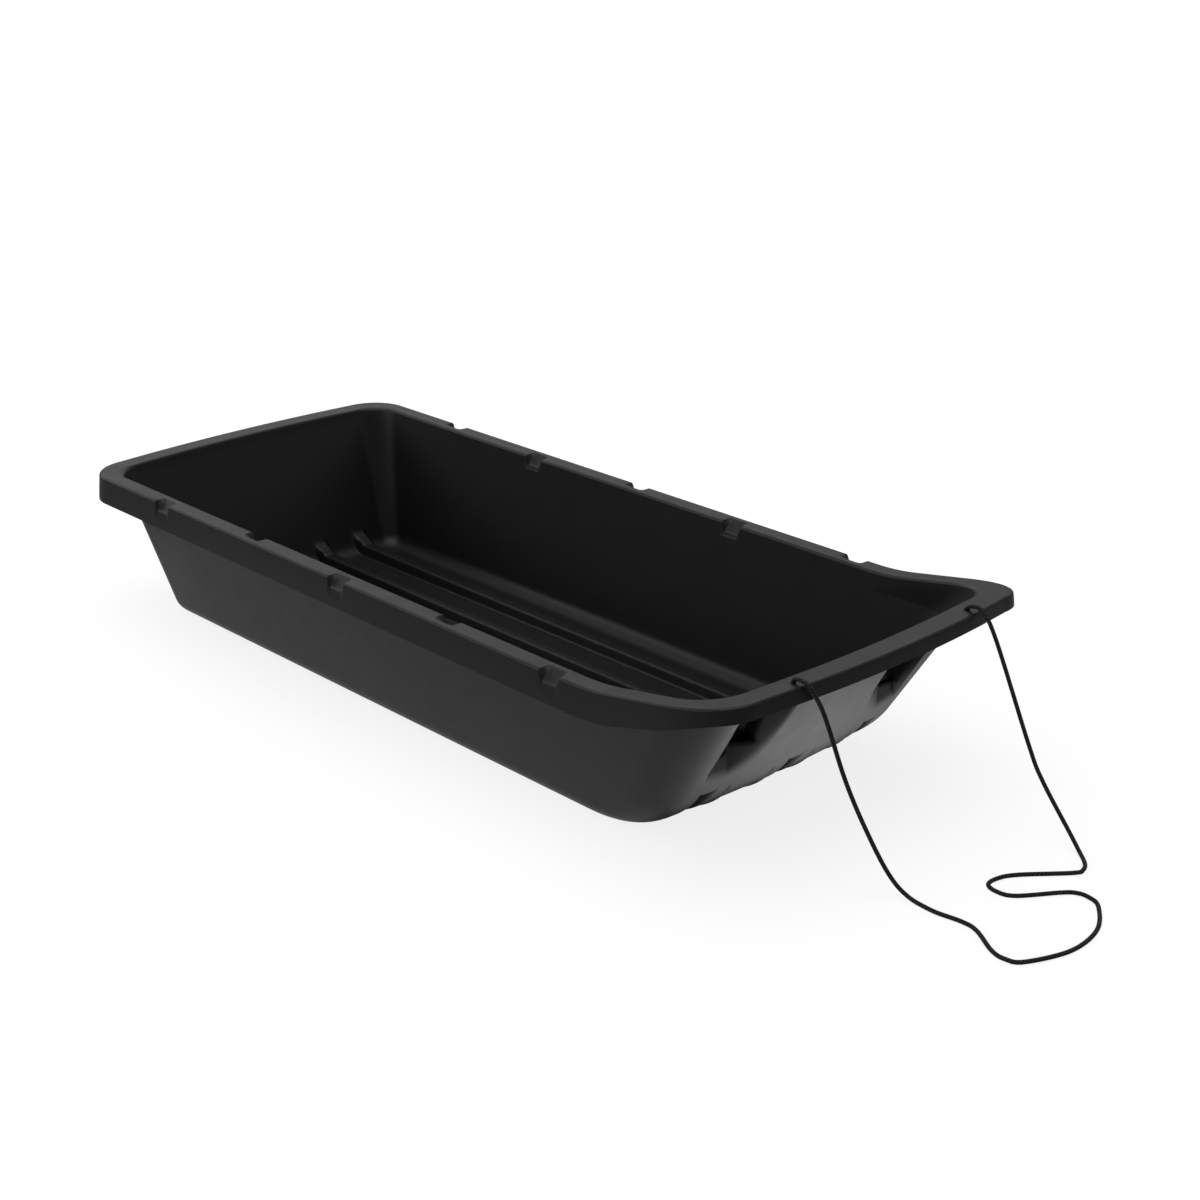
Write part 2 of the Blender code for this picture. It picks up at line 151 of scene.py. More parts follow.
def braidTube(name, line, radius, sides, pitch, material, taper=0.0):
    # a tube along the line, with a measure along and around it for the braid
    mesh = bmesh.new()
    uv = mesh.loops.layers.uv.new("braid")
    first = line[1] - line[0]
    normal = Vector((0, 0, 1)).cross(first)
    if normal.length < 0.2 * first.length:
        normal = Vector((0, 1, 0))
    rings, along = [], []
    gone = 0.0
    for i, p in enumerate(line):
        ahead = (line[min(i + 1, len(line) - 1)] - line[max(i - 1, 0)]).normalized()
        normal = (normal - ahead * normal.dot(ahead)).normalized()
        side = ahead.cross(normal)
        if i:
            gone += (p - line[i - 1]).length
        r = radius * (1 - taper) if i in (0, len(line) - 1) else radius
        turns = [2 * math.pi * k / sides for k in range(sides)]
        rings.append([mesh.verts.new(p + r * (normal * math.cos(t) + side * math.sin(t)))
                      for t in turns])
        along.append(gone / pitch)
    for i in range(len(rings) - 1):
        for k in range(sides):
            j = (k + 1) % sides
            face = mesh.faces.new((rings[i][k], rings[i][j], rings[i + 1][j], rings[i + 1][k]))
            spots = ((along[i], k), (along[i], k + 1), (along[i + 1], k + 1), (along[i + 1], k))
            for loop, (u, v) in zip(face.loops, spots):
                loop[uv].uv = (u, v / sides)
    mesh.faces.new(rings[0][::-1])
    mesh.faces.new(rings[-1])
    bmesh.ops.recalc_face_normals(mesh, faces=mesh.faces)
    return newPiece(name, mesh, material)


def fillSockets(tree, node, sockets):
    # a value goes into its socket, and another node's output is linked to it
    for key, value in sockets.items():
        if isinstance(value, bpy.types.NodeSocket):
            tree.links.new(value, node.inputs[key])
        else:
            node.inputs[key].default_value = value


def addNode(tree, kind, sockets={}, **settings):
    node = tree.nodes.new(kind)
    for key, value in settings.items():
        setattr(node, key, value)
    fillSockets(tree, node, sockets)
    return node


def mathMaker(tree):
    # a short way to write math nodes: work("ADD", a, b)
    def work(kind, *values):
        return addNode(tree, "ShaderNodeMath", dict(enumerate(values)), operation=kind).outputs[0]
    return work


def easeNode(tree, value, start, end):
    # a smooth step: the two values of start are taken to the two of end
    node = addNode(tree, "ShaderNodeMapRange", {
        "Value": value, "From Min": start[0], "From Max": start[1],
        "To Min": end[0], "To Max": end[1]}, interpolation_type="SMOOTHSTEP")
    return node.outputs[0]


def newMaterial(name):
    mat = bpy.data.materials.new(name)
    mat.use_nodes = True
    return mat, mat.node_tree, mat.node_tree.nodes["Principled BSDF"]


def ropeMaterial(s):
    # a braid of strands both ways, read from the tube's own measure along and around
    mat, tree, shader = newMaterial("braidedRope")
    work = mathMaker(tree)
    uv = addNode(tree, "ShaderNodeUVMap", uv_map="braid")
    parts = addNode(tree, "ShaderNodeSeparateXYZ", {0: uv.outputs[0]})
    along, around = parts.outputs[0], parts.outputs[1]
    turnA = work("MULTIPLY", work("ADD", around, along), s["strands"])
    turnB = work("MULTIPLY", work("SUBTRACT", around, along), s["strands"])
    swellA, swellB = (work("ABSOLUTE", work("SINE", work("MULTIPLY", turn, math.pi)))
                      for turn in (turnA, turnB))
    crossing = work("MULTIPLY", work("SUBTRACT", turnA, turnB), math.pi / 2)
    over = work("GREATER_THAN", work("SINE", crossing), 0.0)
    height = work("ADD", work("MULTIPLY", swellA, over),
                  work("MULTIPLY", swellB, work("SUBTRACT", 1.0, over)))
    bump = addNode(tree, "ShaderNodeBump", {
        "Strength": s["braidBump"], "Distance": s["braidDepth"], "Height": height})
    # the lighter yarn shows as flecks, a little fuzzy
    strand = work("MODULO", work("FLOOR", turnA), s["fleckEvery"])
    pale = work("MULTIPLY", work("LESS_THAN", strand, 0.5), over)
    spot = addNode(tree, "ShaderNodeTexCoord")
    fuzz = addNode(tree, "ShaderNodeTexNoise", {
        "Scale": s["fuzzSize"], "Vector": spot.outputs["Object"]})
    pale = work("MULTIPLY", pale, work("MULTIPLY_ADD", fuzz.outputs[0], *s["fuzzRange"]))
    mix = addNode(tree, "ShaderNodeMix", {0: pale, 6: s["dark"], 7: s["fleck"]},
                  data_type="RGBA")
    fillSockets(tree, shader, {
        "Base Color": mix.outputs[2], "Roughness": s["roughness"],
        "Specular IOR Level": s["shine"], "Normal": bump.outputs[0]})
    return mat


def knotLine(s, place):
    # an overhand knot: down out of the rope, once round three lobes, and out as a short tail
    lobes = []
    for i in range(3, 58):
        t = 2 * math.pi * i / 60
        lobes.append(Vector(((math.sin(t) + 2 * math.sin(2 * t)) * s["knotLobe"],
                             (math.cos(t) - 2 * math.cos(2 * t)) * s["knotLobe"],
                             -math.sin(3 * t) * s["knotWave"])))
    top = Vector((0, 0, s["knotHalf"]))
    low = Vector((s["knotLean"], s["knotLean"], -s["knotHalf"]))
    enter = top * s["knotEnter"][0] + lobes[0] * s["knotEnter"][1]
    leave = low * s["knotLeave"][0] + lobes[-1] * s["knotLeave"][1]
    route = [top, enter] + lobes[::3] + [leave, low]
    return smoothLine([Vector(place) + p for p in route], s["knotStep"])


def makeRope(s):
    material = ropeMaterial(s)
    route = ropeRoute(s)
    middle = smoothLine(route[1:-1], s["ringStep"], s["ground"])
    line = [Vector(route[0])] + middle + [Vector(route[-1])]
    length = sum((q - p).length for p, q in zip(line, line[1:]))
    radius = s["diameter"] / 2
    rope = braidTube("towRopeBraid", line, radius, s["sides"], s["braidPitch"], material)
    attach(rope, "root")
    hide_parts("tow_rope")
    for name, node in (("stopperKnotRight", "rope_knot_right"),
                       ("stopperKnotLeft", "rope_knot_left")):
        low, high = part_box(node)
        middle = [(a + b) / 2 for a, b in zip(low, high)]
        knot = braidTube(name, knotLine(s, middle), radius * s["knotTight"], s["knotSides"],
                         s["braidPitch"], material, s["knotTaper"])
        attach(knot, "root")
        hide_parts(node)
    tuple(route[0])
    [tuple(p) for p in line[::3] + [line[-1]]]
    print("rope made", round(length, 3), "m long")


makeRope(ropeSet)

# the moulded tub: its upper side is lofted through level lines, one half of it, which is then
# mirrored and thickened; a drop is measured down from the rim's plane
hullSet = {
    "sheet": 0.0036,
    "halfLength": 0.765, "halfWidth": 0.3175,   # outside of the rim
    "depth": 0.2413,                            # height of the rim's plane
    "sideRim": 0.0316, "bowRim": 0.050, "sternRim": 0.0384,     # widths of the flange
    "rimSteps": 14, "edgeRound": 0.0040, "edgeSteps": 5,
    # the turned-down lip's levels: drop at the sides, drop at the bow, share of the flare
    "skirtLines": ((0.0440, 0.0225, 1.0), (0.03325, 0.01625, 0.78), (0.0225, 0.0105, 0.5)),
    "skirtFlare": 0.0027, "skirtEase": (0.562, 0.171),
    # how the rim rises to the bow
    "sheerStart": 0.467, "sheerRadius": 0.413, "sheerSlope": 10.5,
    "sheerSpan": 0.0753, "sheerSteps": 8,
    # the tub's walls, their leans in degrees and the fillets at their feet
    "bowStart": 0.4626, "bowRadius": 0.1501, "bowAngle": 58.5, "bowRise": 0.0381,
    "sideDraft": 11.7, "sternDraft": 22.3, "sideFillet": 0.0254, "sternFillet": 0.0318,
    # how far each line bows out in plan, as a radius, and how its corners turn
    "bowRimPlan": 1.65, "bowFacePlan": 1.98, "sternPlan": 2.54, "cornerPower": 2.4,
    "rimReach": (0.114, 0.071), "rimTurn": (0.070, 0.068), "rimSternTurn": (0.070, 0.035),
    "wallReach": 0.080, "bowFlat": (0.2085, 0.0738), "sternTurn": (0.056, 0.13),
    "floorCorner": 0.008,
    "sideSpan": (-0.683, 0.632), "cornerSteps": 22, "sternSteps": 14,
    # the levels of the walls, closer together beside the recess's edges, and then of the floor's
    # bow arc, by its angle, and the floor's own stations
    "wallEnd": 0.165, "wallSteps": (0.0008, 0.0035), "closeReach": 0.004, "closeAhead": 0.003,
    "arcAngles": (58.5, 57.7, 56.9, 56.1, 55.3, 54.5, 53.5, 52, 49, 46, 42, 38, 34, 30, 27.5,
                  25, 22.5, 20, 17, 14, 12, 10.5, 9, 7.5, 6, 4.5, 3, 1.8, 0.8, 0),
    "floorStations": (0.36, 0.24, 0.12, 0.0, -0.12, -0.24, -0.36, -0.46, -0.54, -0.58),
    # the runner grooves, which stand up inside as ribs, and the fine keel lines between them
    "ribPitch": 0.0845, "ribTop": 0.0105, "ribFoot": 0.0155, "ribHeight": 0.0175,
    "ribRounds": (0.0042, 0.0032), "flankSteps": 4,
    "longRib": (57.7, 58.45), "shortRib": (20.0, 30.0),     # angles at which they run out
    "ribRear": (0.012, 0.036),                              # heights at which they run out astern
    "keelDrop": 0.0015, "keelHalf": 0.0035, "keelStart": (5.0, 12.0), "keelEnd": (54.0, 58.0),
    "keelForm": ((-1, 0), (-0.6, 0.2), (-0.3, 0.7), (0, 1), (0.3, 0.7), (0.6, 0.2), (1, 0)),
    # the grip notches, cut into the flange's two edges by turns
    "notchMiddle": -0.0408, "notchPitch": 0.2346, "notchMouth": 0.0203, "notchBack": 0.0135,
    "notchDepth": 0.0160, "notchReach": 0.0196, "notchRounds": (0.0024, 0.0020),
    "notchSoft": 0.06, "belowNotch": 0.0225, "notchSpace": 0.006, "notchSteps": 5,
    # the bow's corner recess, the pocket in it and the ledge beside the pocket
    "recessTop": 0.029, "recessStart": 0.004, "recessRound": 0.006, "recessCeiling": 0.7,
    "ceilingStart": 0.004, "ceilingSoft": 0.003,
    "recessX": 0.601, "recessTurn": 0.156, "turnSoft": 0.003,
    "recessLean": (0.28, 9.5, 0.111), "leastLean": 0.1,
    "recessSide": 0.005, "recessSoft": 0.005,
    "pocketTop": 0.046, "pocketLow": 0.1010, "pocketDepth": 0.023, "pocketRound": 0.004,
    "pocketSide": 0.1165, "pocketEnd": 0.1545, "pocketCorner": 0.010, "pocketSteep": 14.0,
    "ledgeLow": 0.1125, "ledgeDepth": 0.005, "ledgeRound": 0.002,
    "lip": 0.0024, "lipEnd": 0.97, "lipSunk": 0.76,
    # columns added across the bow, so that the pocket's edges are crisp
    "closeColumns": 0.0007, "sideColumns": (-1, 12), "endColumns": (-3, 7),
    "wideColumns": (0.1025, 0.003, 28), "columnEnd": 0.1860, "columnGap": 0.0005,
    "outerColumns": (0.0075, 0.006, 0.005, 0.004, 0.003, 0.002, 0.001, 0.0),
    "outerRoom": 0.0085,
    "holeX": 0.734, "holeY": 0.178, "holeRadius": 0.0045, "holeSides": 32, "drillLength": 0.03,
    "mergeGap": 0.00005, "sharpFrom": 38,
    "black": (0.0084, 0.0084, 0.0090, 1), "shine": 0.40,
    "roughness": 0.42, "patchSize": 30.0, "patchRange": 0.10,
    "grainSize": 1400.0, "grainDepth": 0.00005, "waveSize": 9.0, "waveDepth": 0.0004,
}


def easeStep(t):
    t = min(max(t, 0.0), 1.0)
    return t * t * (3 - 2 * t)


def easeBetween(value, ends):
    return easeStep((value - ends[0]) / (ends[1] - ends[0]))


def easeAcross(value, middle, width):
    return easeStep((value - middle) / width + 0.5)


def softOver(value, width):
    # the value where it is above zero, rounded off over the width on either side
    if value <= -width:
        return 0.0
    return value if value >= width else (value + width) ** 2 / (4 * width)


def flankPoints(length, height, rounds, steps):
    # a flank that falls from 1 to 0 over a length, both edges rounded: (distance, share)
    slope = math.atan2(height, length)
    top, foot = rounds
    turns = [slope * i / steps for i in range(steps + 1)]
    upper = [(top * (math.sin(b) - math.tan(slope / 2)), 1 - top * (1 - math.cos(b)) / height)
             for b in turns]
    lower = [(length + foot * (math.tan(slope / 2) - math.sin(b)),
              foot * (1 - math.cos(b)) / height) for b in turns[::-1]]
    return upper + lower


def sheer(s, x):
    # height of the rim above its level part
    slope = math.radians(s["sheerSlope"])
    arcEnd = s["sheerStart"] + s["sheerRadius"] * math.sin(slope)
    if x < s["sheerStart"]:
        return 0.0
    if x < arcEnd:
        across = x - s["sheerStart"]
        return s["sheerRadius"] - math.sqrt(s["sheerRadius"] ** 2 - across ** 2)
    return s["sheerRadius"] * (1 - math.cos(slope)) + math.tan(slope) * (x - arcEnd)


def leaningWall(height, draft, fillet, foot):
    # how far out a wall stands at a height, through the fillet at its foot
    angle = math.atan(draft)
    if height >= fillet * (1 - math.sin(angle)):
        return foot + height * draft
    arc = math.sqrt(fillet ** 2 - (fillet - height) ** 2)
    return foot + fillet * draft - fillet / math.cos(angle) + arc


def between(pair, share):
    return pair[0] + (pair[1] - pair[0]) * share


def levelLine(s, half, bow, stern, drop, **more):
    # one level line: where it runs at the side, bow and stern, and how its corners turn;
    # outCut and inCut are how deep the outer and inner grip notches cut it, from 0 to 1
    line = dict(half=half, bow=bow, stern=stern, drop=drop, bowDrop=drop,
                reach=s["wallReach"], turn=half - s["bowFlat"][0] + s["bowFlat"][1] * drop,
                sternTurn=max(s["floorCorner"], s["sternTurn"][0] - s["sternTurn"][1] * drop),
                plan=s["bowFacePlan"], slope=s["bowAngle"], onRim=False,
                outCut=0.0, inCut=0.0, sternSlope=0.0, sternLift=0.0)
    line.update(more)
    return line


def rimLine(s, inset, drop, flare=0.0, **more):
    share = inset / s["sideRim"]
    return levelLine(s, s["halfWidth"] - inset + flare,
                     s["halfLength"] - s["bowRim"] * share + flare / 2,
                     -s["halfLength"] + s["sternRim"] * share - flare, drop,
                     reach=between(s["rimReach"], share), turn=between(s["rimTurn"], share),
                     sternTurn=between(s["rimSternTurn"], share), plan=s["bowRimPlan"],
                     onRim=True, **more)


def wallLine(s, drop, onRim=False):
    angle = math.radians(s["bowAngle"])
    arcX = s["bowStart"] + s["bowRadius"] * math.sin(angle)
    arcZ = s["sheet"] + s["bowRadius"] * (1 - math.cos(angle))
    height = s["depth"] - drop + (s["bowRise"] if onRim else 0)
    sideDraft, sternDraft = (math.tan(math.radians(s[k])) for k in ("sideDraft", "sternDraft"))
    return levelLine(s, s["halfWidth"] - s["sideRim"] - drop * sideDraft,
                     arcX + (height - arcZ) / math.tan(angle),
                     -s["halfLength"] + s["sternRim"] + drop * sternDraft, drop, onRim=onRim)


def floorLine(s, degrees):
    # through the bow arc at an angle, and through the side and stern fillets at that height
    angle = math.radians(degrees)
    height = s["bowRadius"] * (1 - math.cos(angle))
    full = s["depth"] - s["sheet"]
    sideDraft, sternDraft = (math.tan(math.radians(s[k])) for k in ("sideDraft", "sternDraft"))
    sideFoot = s["halfWidth"] - s["sideRim"] - full * sideDraft
    sternFoot = s["halfLength"] - s["sternRim"] - full * sternDraft
    steepest = math.sin(math.radians(s["sternDraft"]))
    return levelLine(s, leaningWall(height, sideDraft, s["sideFillet"], sideFoot),
                     s["bowStart"] + s["bowRadius"] * math.sin(angle),
                     -leaningWall(height, sternDraft, s["sternFillet"], sternFoot),
                     full - height, slope=degrees,
                     sternSlope=math.acos(max(1 - height / s["sternFillet"], steepest)),
                     sternLift=1 - easeBetween(height, s["ribRear"]))


def mixLines(a, b, sideways, down):
    line = dict(a)
    for key in ("half", "bow", "stern", "reach", "turn", "sternTurn", "plan"):
        line[key] = between((a[key], b[key]), sideways)
    line["drop"] = line["bowDrop"] = between((a["drop"], b["drop"]), down)
    return line


def tubLines(s):
    # the level lines in order: up the skirt, over the rim, down the walls, into the floor
    r, reach, rim = s["edgeRound"], s["notchReach"], s["sideRim"]
    lines = [rimLine(s, 0, drop, s["skirtFlare"] * share, bowDrop=bowDrop)
             for drop, bowDrop, share in s["skirtLines"]]
    turns = [math.pi / 2 * i / s["edgeSteps"] for i in range(s["edgeSteps"] + 1)]
    side, edge = rimLine(s, 0, r), rimLine(s, r, 0)
    for turn in turns:
        line = mixLines(side, edge, 1 - math.cos(turn), math.sin(turn))
        line["outCut"] = 1 - (s["halfWidth"] - line["half"]) / reach
        lines.append(line)
    for i in range(1, s["rimSteps"]):
        inset = r + (rim - 2 * r) * i / s["rimSteps"]
        lines.append(rimLine(s, inset, 0, outCut=softOver(1 - inset / reach, s["notchSoft"]),
                             inCut=softOver(1 - (rim - inset) / reach, s["notchSoft"])))
    edge, side = rimLine(s, rim - r, 0), wallLine(s, r, True)
    for turn in turns:
        line = mixLines(edge, side, math.sin(turn), 1 - math.cos(turn))
        line["inCut"] = 1 - (line["half"] - side["half"]) / reach
        lines.append(line)
    lines.append(wallLine(s, s["belowNotch"], True))
    edges = [s[k] for k in ("recessTop", "pocketTop", "pocketLow", "ledgeLow")]
    drop = s["recessTop"] - s["recessStart"]
    while drop < s["wallEnd"]:
        lines.append(wallLine(s, drop))
        near = min(abs(drop + s["closeAhead"] - level) for level in edges)
        drop += s["wallSteps"][0 if near < s["closeReach"] else 1]
    return lines + [floorLine(s, angle) for angle in s["arcAngles"]]


def tubColumns(s):
    # lengthwise columns from the middle out: (y, which rib, share of its height, of the keel)
    flank = flankPoints(s["ribFoot"] - s["ribTop"], s["ribHeight"], s["ribRounds"],
                        s["flankSteps"])
    columns = [(0.0, 0, 1.0, 0.0)]
    for i in range(3):
        middle = i * s["ribPitch"]
        if i:
            columns += [(middle - s["ribTop"] - d, i, share, 0.0) for d, share in flank]
            columns.append((middle, i, 1.0, 0.0))
        columns += [(middle + s["ribTop"] + d, i, share, 0.0) for d, share in flank]
        if i < 2:
            keel = middle + s["ribPitch"] / 2
            columns += [(keel + part * s["keelHalf"], -1, 0.0, share)
                        for part, share in s["keelForm"]]
    extra = [s["pocketSide"] + s["closeColumns"] * i for i in range(*s["sideColumns"])]
    extra += [s["pocketEnd"] + s["closeColumns"] * i for i in range(*s["endColumns"])]
    start, step, count = s["wideColumns"]
    extra += [start + step * i for i in range(count)]
    for y in extra:
        if y < s["columnEnd"] and min(abs(y - c[0]) for c in columns) > s["columnGap"]:
            columns.append((y, -1, 0.0, 0.0))
    columns.sort()
    # an added column that falls between two of one rib takes the rib's height there
    ribbed = [c for c in columns if c[1] >= 0]
    filled = []
    for y, rib, share, keel in columns:
        before = [c for c in ribbed if c[0] < y]
        after = [c for c in ribbed if c[0] > y]
        if rib < 0 and before and after and before[-1][1] == after[0][1]:
            a, b = before[-1], after[0]
            rib, share = a[1], a[2] + (b[2] - a[2]) * (y - a[0]) / (b[0] - a[0])
        filled.append((y, rib, share, keel))
    return filled


def sunk(s, across, above, depth):
    # how far a pocket sinks, from the distances inside its side and its lower edge:
    # a round lip, then a steep wall
    corner, lip = s["pocketCorner"], s["lip"]
    inside = min(across, above)
    if across < corner and above < corner:
        inside = corner - math.hypot(corner - across, corner - above)
    if inside <= 0:
        return 0.0
    if inside < lip * s["lipEnd"]:
        return min(depth, lip - math.sqrt(lip * lip - inside * inside))
    return min(depth, lip * s["lipSunk"] + (inside - lip * s["lipEnd"]) * s["pocketSteep"])


def recessCut(s, x, y, drop, edge):
    # how far the corner recess, with its pocket and ledge, sets the bow's face back
    start, rate, level = s["recessLean"]
    lean = max(s["leastLean"], start + rate * (s["depth"] - drop - level))
    back = s["recessX"] + lean * softOver(s["recessTurn"] - y, s["turnSoft"])
    pocket = sunk(s, y - s["pocketSide"], s["pocketLow"] - drop, s["pocketDepth"])
    pocket *= 1 - easeAcross(y, s["pocketEnd"], s["ledgeRound"])
    ledge = sunk(s, y - s["pocketEnd"], s["ledgeLow"] - drop, s["ledgeDepth"])
    back -= easeAcross(drop, s["pocketTop"], s["pocketRound"]) * max(pocket, ledge)
    side = easeStep((edge - y) / s["recessSide"])
    top = easeAcross(drop, s["recessTop"], s["recessRound"])
    depth = softOver(x - back, s["recessSoft"])
    most = max(0.0, (drop - s["recessTop"]) / s["recessCeiling"]) + s["ceilingStart"]
    return side * top * (most - softOver(most - depth, s["ceilingSoft"]))


def bowPoint(s, line, column, edge):
    y, rib, share, keel = column
    drop, angle = line["drop"], line["slope"]
    x, z = line["bow"] - y * y / (2 * line["plan"]), s["depth"] - drop
    ends = s["shortRib"] if rib == 1 else s["longRib"]
    lift = s["ribHeight"] * share * (1 - easeBetween(angle, ends))
    lift -= (s["keelDrop"] * keel * easeBetween(angle, s["keelStart"])
             * (1 - easeBetween(angle, s["keelEnd"])))
    x -= lift * math.sin(math.radians(angle))
    z += lift * math.cos(math.radians(angle))
    if drop > s["recessTop"] - s["recessStart"] and angle == s["bowAngle"]:
        x -= recessCut(s, x, y, drop, edge)
    return x, y, z


def sideStations(s):
    # stations along the side, from the bow back: (x, share of a notch's depth, which notch)
    flank = flankPoints(s["notchMouth"] - s["notchBack"], s["notchDepth"], s["notchRounds"],
                        s["flankSteps"])
    stations = [(s["sheerStart"] + s["sheerSpan"] * i / s["sheerSteps"], 0.0, 0)
                for i in range(s["sheerSteps"], -1, -1)]
    gap = s["notchPitch"] - 2 * s["notchMouth"] - 2 * s["notchSpace"]
    for k in (2, 1, 0, -1, -2):
        middle = s["notchMiddle"] + k * s["notchPitch"]
        front, rear = middle + s["notchMouth"], middle - s["notchMouth"]
        stations += [(front - d, 1 - share, k) for d, share in flank]
        stations.append((middle, 1.0, k))
        stations += [(rear + d, 1 - share, k) for d, share in flank[::-1]]
        if k > -2:
            stations += [(rear - s["notchSpace"] - gap * i / s["notchSteps"], 0.0, 0)
                         for i in range(1, s["notchSteps"])]
    return stations


def tubRow(mesh, s, line, columns, stations):
    # one level line as points: the bow, its corner, the side, the stern's corner, the stern
    def point(x, y, cut=0.0, rise=0.0):
        ease = easeStep((x - s["skirtEase"][0]) / s["skirtEase"][1])
        z = s["depth"] - between((line["drop"], line["bowDrop"]), ease)
        z += rise - cut * s["notchDepth"] + (sheer(s, x) if line["onRim"] else 0.0)
        return mesh.verts.new((x, y, z))

    row = []
    lastY = columns[-1][0]
    edge = line["half"] - line["turn"]
    squeeze = min(1.0, (edge - lastY) / s["outerRoom"])
    for column in columns + [(edge - d * squeeze, -1, 0.0, 0.0) for d in s["outerColumns"]]:
        if line["onRim"]:
            y = column[0]
            row.append(point(line["bow"] - y * y / (2 * line["plan"]), y))
        else:
            row.append(mesh.verts.new(bowPoint(s, line, column, edge)))
    power = 2 / s["cornerPower"]
    start = line["bow"] - edge * edge / (2 * line["plan"]) - line["reach"]
    for i in range(1, s["cornerSteps"] + 1):
        turn = math.pi / 2 * i / s["cornerSteps"]
        row.append(point(start + line["reach"] * max(math.cos(turn), 0.0) ** power,
                         edge + line["turn"] * math.sin(turn) ** power))
    rear = line["half"] - line["sternTurn"]
    stop = line["stern"] + rear * rear / (2 * s["sternPlan"]) + line["sternTurn"]
    low, high = s["sideSpan"]
    for place, cut, k in stations:
        x = place if line["onRim"] else stop + (place - low) / (high - low) * (start - stop)
        row.append(point(x, line["half"], cut * line["inCut" if k % 2 else "outCut"]))
    for i in range(s["sternSteps"]):
        turn = math.pi / 2 * (1 - i / s["sternSteps"])
        row.append(point(stop - line["sternTurn"] * math.cos(turn),
                         rear + line["sternTurn"] * math.sin(turn)))
    plain = [(rear, -1, 0.0, 0.0), ((rear + lastY) / 2, -1, 0.0, 0.0)]
    for y, rib, share, keel in plain + columns[::-1]:
        lift = s["ribHeight"] * share * line["sternLift"]
        x = line["stern"] + y * y / (2 * s["sternPlan"]) + lift * math.sin(line["sternSlope"])
        row.append(point(x, y, rise=lift * math.cos(line["sternSlope"])))
    return row


def joinRows(mesh, upper, lower):
    for i in range(len(upper) - 1):
        mesh.faces.new((upper[i], upper[i + 1], lower[i + 1], lower[i]))


def tubHalf(s):
    columns, stations = tubColumns(s), sideStations(s)
    mesh = bmesh.new()
    rows = [tubRow(mesh, s, line, columns, stations) for line in tubLines(s)]
    for upper, lower in zip(rows, rows[1:]):
        joinRows(mesh, upper, lower)
    # the floor between the last line's bow and stern, and its plain strip along the side
    count, last = len(columns), rows[-1]
    strips = [last[:count]]
    for x in s["floorStations"]:
        strips.append([mesh.verts.new((x, y, s["sheet"] + s["ribHeight"] * share))
                       for y, rib, share, keel in columns])
    strips.append(last[-count:][::-1])
    for ahead, behind in zip(strips, strips[1:]):
        joinRows(mesh, ahead, behind)
    mesh.faces.new(last[count - 1:len(last) - count + 1] + [strip[-1] for strip in strips[-2:0:-1]])
    return mesh


def plasticMaterial(s):
    # satin black sheet: a fine grain, and the slow waviness of a formed sheet
    mat, tree, shader = newMaterial("mouldedBlack")
    spot = addNode(tree, "ShaderNodeTexCoord").outputs["Object"]
    wave, grain, patch = (
        addNode(tree, "ShaderNodeTexNoise", {"Scale": size, "Detail": detail, "Vector": spot})
        for size, detail in ((s["waveSize"], 1.0), (s["grainSize"], 2.0), (s["patchSize"], 4.0)))
    low = addNode(tree, "ShaderNodeBump", {
        "Strength": 1.0, "Distance": s["waveDepth"], "Height": wave.outputs[0]})
    fine = addNode(tree, "ShaderNodeBump", {
        "Strength": 1.0, "Distance": s["grainDepth"], "Height": grain.outputs[0],
        "Normal": low.outputs[0]})
    rough = mathMaker(tree)("MULTIPLY_ADD", patch.outputs[0], s["patchRange"],
                            s["roughness"] - s["patchRange"] / 2)
    fillSockets(tree, shader, {
        "Base Color": s["black"], "Specular IOR Level": s["shine"], "Roughness": rough,
        "Normal": fine.outputs[0]})
    return mat


def holeDrill(s, tub, side, material):
    mesh = bmesh.new()
    bmesh.ops.create_cone(mesh, cap_ends=True, segments=s["holeSides"], radius1=s["holeRadius"],
                          radius2=s["holeRadius"], depth=s["drillLength"])
    drill = newPiece("ropeDrill", mesh, material)
    drill.location = (s["holeX"], side * s["holeY"], s["depth"] + sheer(s, s["holeX"]))
    drill.rotation_euler = (0, -math.radians(s["sheerSlope"]), 0)
    cut = tub.modifiers.new("ropeHole", "BOOLEAN")
    cut.operation = "DIFFERENCE"
    cut.solver = "EXACT"
    cut.object = drill
    return drill


def makeHull(s):
    mesh = tubHalf(s)
    bmesh.ops.recalc_face_normals(mesh, faces=mesh.faces)
    if sum(f.normal.z * f.calc_area() for f in mesh.faces) < 0:
        bmesh.ops.reverse_faces(mesh, faces=mesh.faces)
    material = plasticMaterial(s)
    tub = newPiece("sledTub", mesh, material)
    mirror = tub.modifiers.new("bothSides", "MIRROR")
    mirror.use_axis = (False, True, False)
    mirror.merge_threshold = s["mergeGap"]
    solid = tub.modifiers.new("sheet", "SOLIDIFY")
    solid.thickness = s["sheet"]
    solid.offset = -1.0
    solid.use_even_offset = True
    solid.use_quality_normals = True
    drills = [holeDrill(s, tub, side, material) for side in (-1, 1)]
    bpy.context.view_layer.update()
    graph = bpy.context.evaluated_depsgraph_get()
    shaped = bpy.data.meshes.new_from_object(tub.evaluated_get(graph))
    tub.modifiers.clear()
    tub.data = shaped
    for drill in drills:
        bpy.data.objects.remove(drill, do_unlink=True)
    shaped.materials.clear()
    shaped.materials.append(material)
    for polygon in shaped.polygons:
        polygon.material_index = 0
    shaped.shade_smooth()
    shaped.set_sharp_from_angle(angle=math.radians(s["sharpFrom"]))
    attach(tub, "root")
    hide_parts("sled_hull")
    print("tub made", len(shaped.polygons), "faces")


makeHull(hullSet)

